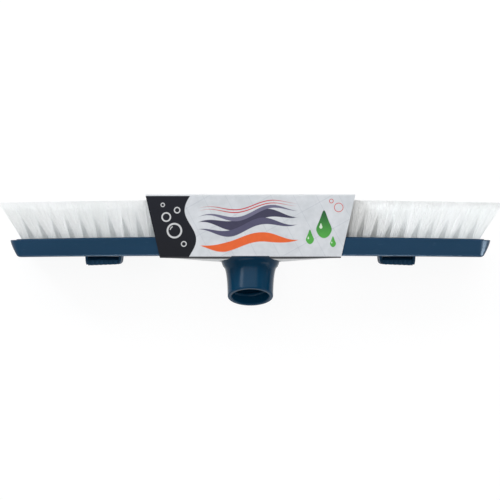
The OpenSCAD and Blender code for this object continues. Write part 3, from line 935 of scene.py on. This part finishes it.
card_t = 0.5 * MM
sleeve_top_w = 131.4 * MM
sleeve_back_w = 113.4 * MM
tip_room = 3.2 * MM
back_room = 0.8 * MM
fold_r = 1 * MM
card_bulge = 2.7 * MM
bulge_half = 62 * MM
bulge_run = 50 * MM
notch_w = 25 * MM
slot_gap = 1.2 * MM
side_room = 0.1 * MM
in_top = back_y0 + block_t + tip_rise + tip_room
in_bottom = back_y0 - back_room


def ease(t):
    """Smooth step from 0 to 1."""
    t = np.clip(t, 0, 1)
    return t * t * (3 - 2 * t)


def card_section(grow):
    """Cross-section of one face of the card as y, z: four round folds with panels between them.
    grow is 0 on the inner face and the card's thickness on the outer one."""
    r = fold_r - card_t + grow
    y0, y1 = in_bottom - grow, in_top + grow
    z0, z1 = card_t - grow, card_t + block_w + 2 * side_room + grow
    corners = [(y1 - r, z1 - r, 0), (y0 + r, z1 - r, 90),
               (y0 + r, z0 + r, 180), (y1 - r, z0 + r, 270)]
    arcs = []
    for y, z, first in corners:
        q = np.radians(np.linspace(first, first + 90, 6))
        arcs.append(np.stack([y + r * np.cos(q), z + r * np.sin(q)], -1))
    parts = []
    for i, arc in enumerate(arcs):
        follow = arcs[(i + 1) % 4][0]
        t = np.linspace(0, 1, 33)[1:-1, None]
        parts += [arc, arc[-1] * (1 - t) + follow * t]
    return np.concatenate(parts)


def card_face(grow, stations):
    """One face of the card: the section swept along the block. Its half width grows with y, and
    its back panel bulges by an arch across and an eased hump along."""
    section = card_section(grow)
    y, z = section[:, 0][None], section[:, 1][None]
    t = (y - in_bottom) / (in_top - in_bottom)
    half = (sleeve_back_w + (sleeve_top_w - sleeve_back_w) * t) / 2
    x = np.linspace(-1, 1, stations)[:, None] * half
    over = np.sin(np.pi * np.clip((z - card_t) / (block_w + 2 * side_room), 0, 1))
    low = np.clip(1 - (y - in_bottom) / fold_r, 0, 1)
    y = y - card_bulge * ease((bulge_half - np.abs(x)) / bulge_run) * np.sqrt(over) * low
    return np.stack([x, y, z + 0 * x], -1)


def card_mesh(stations=121):
    """The card band as a closed thin shell."""
    outer, inner = card_face(card_t, stations), card_face(0, stations)
    around = outer.shape[1]
    total = stations * around
    points = np.concatenate([outer.reshape(-1, 3), inner.reshape(-1, 3)])
    skin = grid_quads(stations, around)
    k = np.arange(around)
    k_next = (k + 1) % around
    first = np.stack([k, total + k, total + k_next, k_next], -1)
    last = np.stack([k, k_next, total + k_next, total + k], -1) + total - around
    return mesh_of("card_band", points, skin, total + skin[:, ::-1], first, last), len(skin)


def print_colour(tree, place):
    """Generic print on the outside of the card: pale tiles, a charcoal end with rising bubbles,
    three slate ribbons and an orange one that swell and climb as waves, two red lines over them,
    three green drops and two red rings. The rear panel has only the tiles, ribbons and lines."""
    do, ramp, ink = partial(calc, tree), partial(ramp_between, tree), partial(mixed, tree)
    axes = put(tree, "ShaderNodeSeparateXYZ", {0: place}).outputs
    x, y = do("DIVIDE", axes["X"], MM), do("DIVIDE", axes["Y"], MM)
    front = ramp(axes["Z"], z_mid, z_mid + 1 * MM)

    def under(value, limit, soft=0.12):
        """1 where value is below limit, with an edge as soft as ink on board."""
        return ramp(value, limit - soft, limit + soft, 1.0, 0.0)

    def both(*masks):
        """Product of masks."""
        made = masks[0]
        for other in masks[1:]:
            made = do("MULTIPLY", made, other)
        return made

    def distance(cx, cy):
        """Distance from a point."""
        dx, dy = do("SUBTRACT", x, cx), do("SUBTRACT", y, cy)
        return do("SQRT", do("MULTIPLY_ADD", dx, dx, do("MULTIPLY", dy, dy)))

    def ring(cx, cy, r, thick):
        """A thin ring."""
        off = do("ABSOLUTE", do("SUBTRACT", distance(cx, cy), r))
        return both(front, under(off, thick / 2))

    def wave(level, climb, swing, length, shift):
        """How far y is above a sine wave that climbs with x."""
        curve = do("SINE", do("MULTIPLY_ADD", x, 2 * math.pi / length, shift))
        line = do("MULTIPLY_ADD", x, climb, level)
        return do("SUBTRACT", y, do("MULTIPLY_ADD", curve, swing, line))

    def ribbon(above, thick, swell):
        """A band round a wave, as thick as swell says."""
        over = do("SUBTRACT", do("ABSOLUTE", above), do("MULTIPLY", swell, thick))
        return both(under(over, 0.0), ramp(swell, 0.01, 0.12))

    def drop(cx, cy, size):
        """A drop: a disc that narrows to a tip above."""
        up = do("DIVIDE", do("SUBTRACT", y, cy), size)
        side = do("DIVIDE", do("SUBTRACT", x, cx), size)
        side = do("MULTIPLY", side, ramp(up, -0.8, 2.2, 1.0, 3.2))
        up = do("MULTIPLY", up, 0.62)
        away = do("SQRT", do("MULTIPLY_ADD", side, side, do("MULTIPLY", up, up)))
        return both(front, under(away, 1.0, 0.03))

    base = ink(ramp(noise(tree, place, 14 * MM, 4.0), 0.3, 0.7),
               (0.565, 0.59, 0.62, 1), (0.635, 0.655, 0.685, 1))
    for slope, gap, shift in ((0.55, 21.0, 4.0), (-1.9, 27.0, 9.0)):
        run = do("MULTIPLY_ADD", x, -slope, do("ADD", y, shift))
        off = do("ABSOLUTE", do("SUBTRACT", do("FRACT", do("DIVIDE", run, gap)), 0.5))
        joint = do("MULTIPLY", under(off, 0.012, 0.012), 0.45)
        base = ink(joint, base, (0.42, 0.45, 0.50, 1))
    swell = both(ramp(x, -36.0, -8.0), ramp(x, 4.0, 33.0, 1.0, 0.0))
    slate_tones = ((19.6, 3.1, (0.052, 0.05, 0.092, 1), 0.0),
                   (15.0, 2.2, (0.085, 0.082, 0.145, 1), 0.5),
                   (23.4, 1.3, (0.15, 0.145, 0.225, 1), -0.35))
    for level, thick, tone, shift in slate_tones:
        base = ink(ribbon(wave(level, 0.13, 2.6, 40.0, shift), thick, swell), base, tone)
    for level in (26.6, 28.3):
        red_line = ribbon(wave(level, 0.10, 1.9, 40.0, -0.35), 0.34, swell)
        base = ink(red_line, base, (0.52, 0.045, 0.05, 1))
    swell = both(ramp(x, -34.0, -14.0), ramp(x, 10.0, 33.0, 1.0, 0.0))
    orange_ribbon = ribbon(wave(5.8, 0.10, 2.2, 46.0, 0.9), 2.9, swell)
    base = ink(orange_ribbon, base, (0.74, 0.125, 0.032, 1))
    green = ink(ramp(y, 5.0, 27.0), (0.085, 0.38, 0.065, 1), (0.018, 0.095, 0.035, 1))
    for cx, cy, size in ((46.0, 16.5, 5.4), (37.2, 8.6, 2.8), (51.6, 5.6, 2.1)):
        base = ink(drop(cx, cy, size), base, green)
        glint = drop(cx - 0.36 * size, cy - 0.2 * size, 0.2 * size)
        base = ink(glint, base, (0.62, 0.74, 0.60, 1))
    for cx, cy, r in ((55.2, 27.0, 2.7), (50.6, 31.0, 1.2)):
        base = ink(ring(cx, cy, r, 0.45), base, (0.60, 0.10, 0.09, 1))
    edge = do("SINE", do("MULTIPLY_ADD", y, 0.17, 0.4))
    edge = do("MULTIPLY_ADD", edge, 3.6, -37.5)
    panel = both(front, under(do("SUBTRACT", x, edge), 0.0), under(y, 34.2, 0.2))
    charcoal = ink(ramp(y, -5.0, 30.0), (0.0095, 0.0105, 0.0155, 1), (0.0105, 0.012, 0.019, 1))
    base = ink(panel, base, charcoal)
    chalk = (0.56, 0.57, 0.58, 1)
    for cx, cy, r, thick in ((-47.5, 12.5, 4.3, 1.1), (-52.6, 21.0, 2.6, 0.9),
                             (-45.8, 25.3, 1.7, 0.7), (-54.8, 28.6, 1.1, 0.55),
                             (-41.6, 4.2, 1.5, 0.6)):
        base = ink(ring(cx, cy, r, thick), base, chalk)
    shine = both(ring(-47.5, 12.5, 2.7, 0.6), under(do("ADD", x, 48.6), 0.0),
                 under(do("SUBTRACT", 13.0, y), 0.0))
    return ink(shine, base, chalk)


def fibre_group():
    """Surface of coated board: fine fibre, a slow cockle, and soft mottling of its gloss."""
    group, given = group_of("board_fibre", {"Vector": "Vector"}, ("Height", "Mottle"))
    place = given["Vector"]
    fibre = noise(group, place, 0.25 * MM, 3.0)
    cockle = noise(group, place, 18 * MM, 1.0)
    height = calc(group, "MULTIPLY_ADD", fibre, 0.003 * MM,
                  calc(group, "MULTIPLY", cockle, 0.5 * MM))
    mottle = ramp_between(group, noise(group, place, 3 * MM, 4.0), 0.3, 0.7)
    put(group, "NodeGroupOutput", {"Height": height, "Mottle": mottle})
    return group


board_fibre = fibre_group()


def fold_colour(tree, base, place):
    """The printed face at its folds: the fold at the tips is whitened, the back panel is left
    white, and a dark line of painted shade runs along the front panel's lower fold."""
    do, ramp, ink = partial(calc, tree), partial(ramp_between, tree), partial(mixed, tree)
    axes = put(tree, "ShaderNodeSeparateXYZ", {0: place}).outputs
    fold_y = do("SUBTRACT", axes["Y"], in_top + card_t - 0.75 * MM)
    base = ink(ramp(fold_y, -0.15 * MM, 0.15 * MM), base, (0.68, 0.69, 0.70, 1))
    low_y = do("SUBTRACT", axes["Y"], in_bottom - card_t + 0.05 * MM)
    base = ink(ramp(low_y, -0.25 * MM, 0.0, 1.0, 0.0), base, (0.72, 0.73, 0.74, 1))
    # Painted shade: a dark line along the crease of the front panel's lower fold.
    crease = do("ABSOLUTE", do("SUBTRACT", low_y, 0.06 * MM))
    fold_z = z_mid + block_w / 2
    painted_crease_shade = do("MULTIPLY", ramp(crease, 0.48 * MM, 0.92 * MM, 1.0, 0.0),
               ramp(axes["Z"], fold_z - 3 * MM, fold_z - 1 * MM))
    return ink(do("MULTIPLY", painted_crease_shade, 0.96), base, (0.03, 0.03, 0.036, 1))


def card_material(name, printed):
    """Coated board, printed outside with its folds marked and painted shade along its lower front
    fold, and bare inside and at its edges.
    """
    made, tree = blank_material(name)
    place = put(tree, "ShaderNodeTexCoord").outputs["Object"]
    board = use(tree, board_fibre, {"Vector": place})
    if printed:
        base = print_colour(tree, place)
    else:
        base = mixed(tree, board["Mottle"], (0.60, 0.60, 0.59, 1), (0.67, 0.67, 0.66, 1))
    base = mixed(tree, calc(tree, "MULTIPLY", board["Mottle"], 0.06), base, (0, 0, 0, 1))
    if printed:
        base = fold_colour(tree, base, place)
    gloss = calc(tree, "MULTIPLY_ADD", board["Mottle"], 0.1, 0.42 if printed else 0.75)
    bumped(tree, board["Height"], 0.7, {"Base Color": base, "Roughness": gloss,
                                        "Specular IOR Level": 0.25})
    return made


def cut_card(card):
    """Cuts the slot for the socket: its sides are straight, its ends are half circles, and the
    front one crosses the front fold in a chord of notch_w."""
    slot_r = foot_radius(back_room + 0.6 * card_bulge) + slot_gap
    rear_z = z_mid + 0.4 * MM
    front_z = z_mid + block_w / 2 + side_room - math.sqrt(slot_r ** 2 - notch_w ** 2 / 4)
    turn = np.linspace(0, math.pi, 41)
    x = np.concatenate([slot_r * np.cos(turn), -slot_r * np.cos(turn)])
    z = np.concatenate([front_z + slot_r * np.sin(turn), rear_z - slot_r * np.sin(turn)])
    top = in_bottom + fold_r - 0.3 * MM
    points = np.stack([np.stack([x, y + 0 * x, z], -1) for y in (top, top - 20 * MM)])
    lids = np.stack([np.arange(len(x))[::-1], len(x) + np.arange(len(x))])
    punch = object_of(mesh_of("punch", points.reshape(-1, 3), grid_quads(2, len(x)), lids))
    turn_outwards(punch.data)
    cut = card.modifiers.new("cut", "BOOLEAN")
    cut.operation, cut.object, cut.solver = "DIFFERENCE", punch, "EXACT"
    settle(card)
    bpy.data.objects.remove(punch)


band, outside_faces = card_mesh()
card = object_of(band)
card.data.materials.append(card_material("printed_board", True))
card.data.materials.append(card_material("bare_board", False))
side_of = np.ones(len(band.polygons), np.int32)
side_of[:outside_faces] = 0
band.polygons.foreach_set("material_index", side_of)
turn_outwards(card.data)
cut_card(card)
smooth(card, 50)
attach(card, "brush_head")
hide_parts("card_sleeve")
